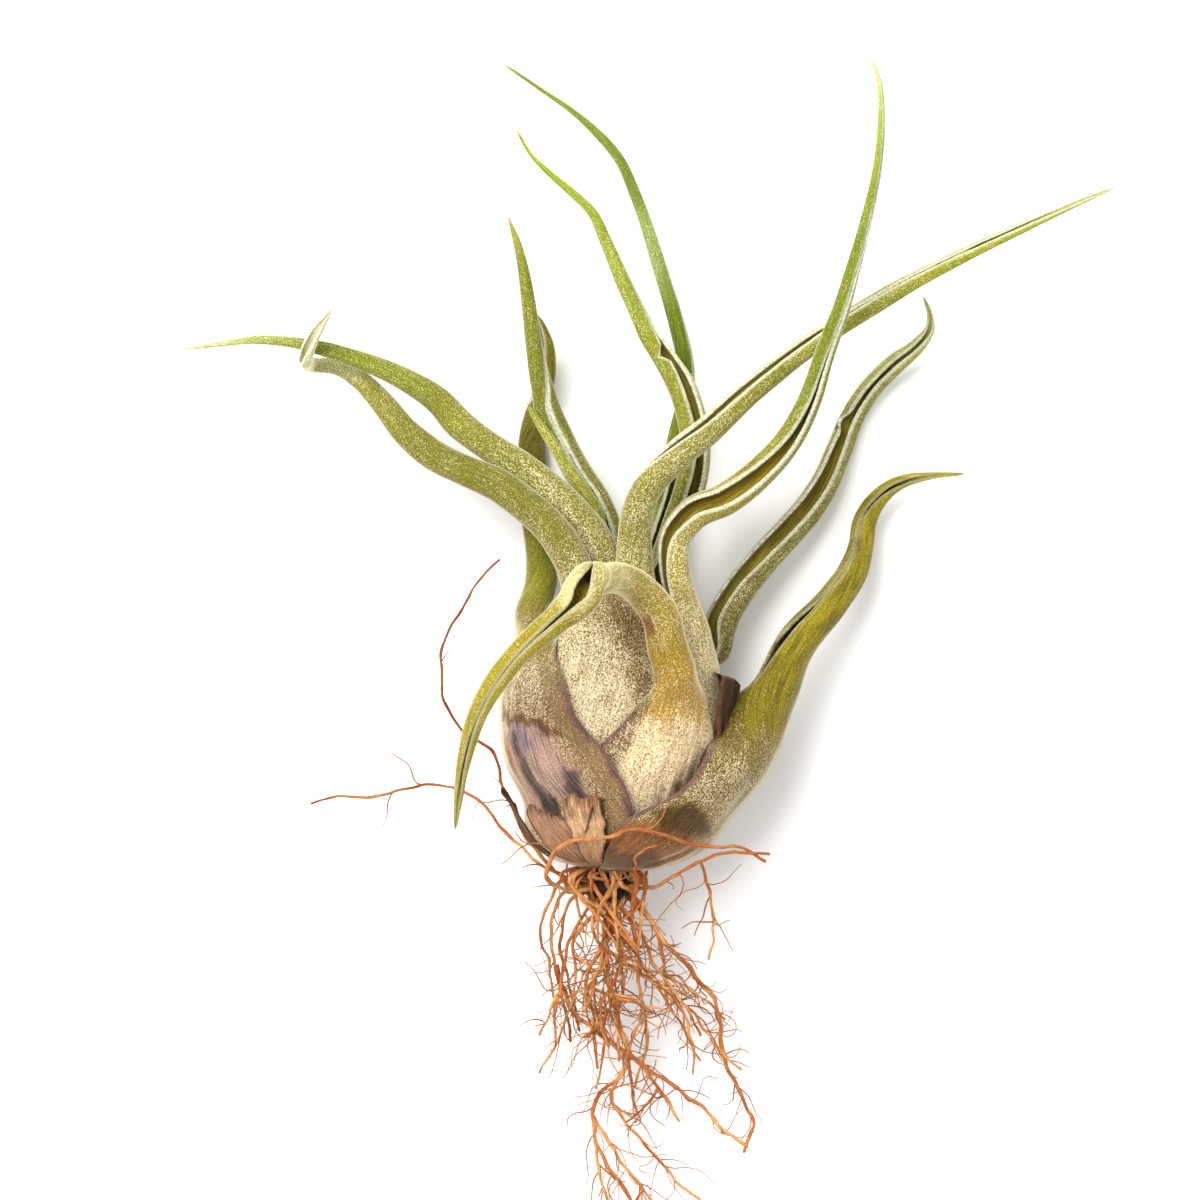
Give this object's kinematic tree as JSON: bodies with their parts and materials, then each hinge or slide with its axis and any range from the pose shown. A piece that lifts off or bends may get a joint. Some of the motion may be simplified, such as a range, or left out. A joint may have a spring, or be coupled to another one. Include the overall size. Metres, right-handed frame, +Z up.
{
  "type": "medusa's head air plant",
  "caption": "Air plant as picked, lying on its side: false bulb of overlapping sheaths, long twisting channelled silvery leaves, torn dry bracts and a tangle of wiry roots.",
  "frame": {"origin": "middle of the small flat spot under the bulb, in the plane of the surface that the plant lies on", "axes": "+Y along the bulb from the roots to the leaf tips, +X to the right of the bulb as seen from above, +Z up away from the surface"},
  "size_m": [0.184, 0.2333, 0.0703],
  "materials": {
    "leaf": "matt, frosted with fine silver scales over olive green",
    "dry_leaf": "matt, dry and fibrous",
    "stem": "matt, rough and dry",
    "root": "matt, dry and wiry"
  },
  "bodies": {
    "root": {"leaf_right_low": "leaf", "leaf_left_outer": "leaf", "leaf_front_bowed": "leaf", "leaf_right_tall": "leaf", "leaf_front_kinked": "leaf", "leaf_left_upright": "leaf", "leaf_right_hooked": "leaf", "leaf_back_tall": "leaf", "leaf_right_long": "leaf", "leaf_back_inner": "leaf", "leaf_left_sweeping": "leaf", "leaf_left_young": "leaf", "leaf_withered": "dry_leaf", "bract_brown": "dry_leaf", "bract_pale": "dry_leaf", "bract_strip_long": "dry_leaf", "bract_strip_short": "dry_leaf", "stem": "stem", "roots": "root"}
  },
  "joints": []
}
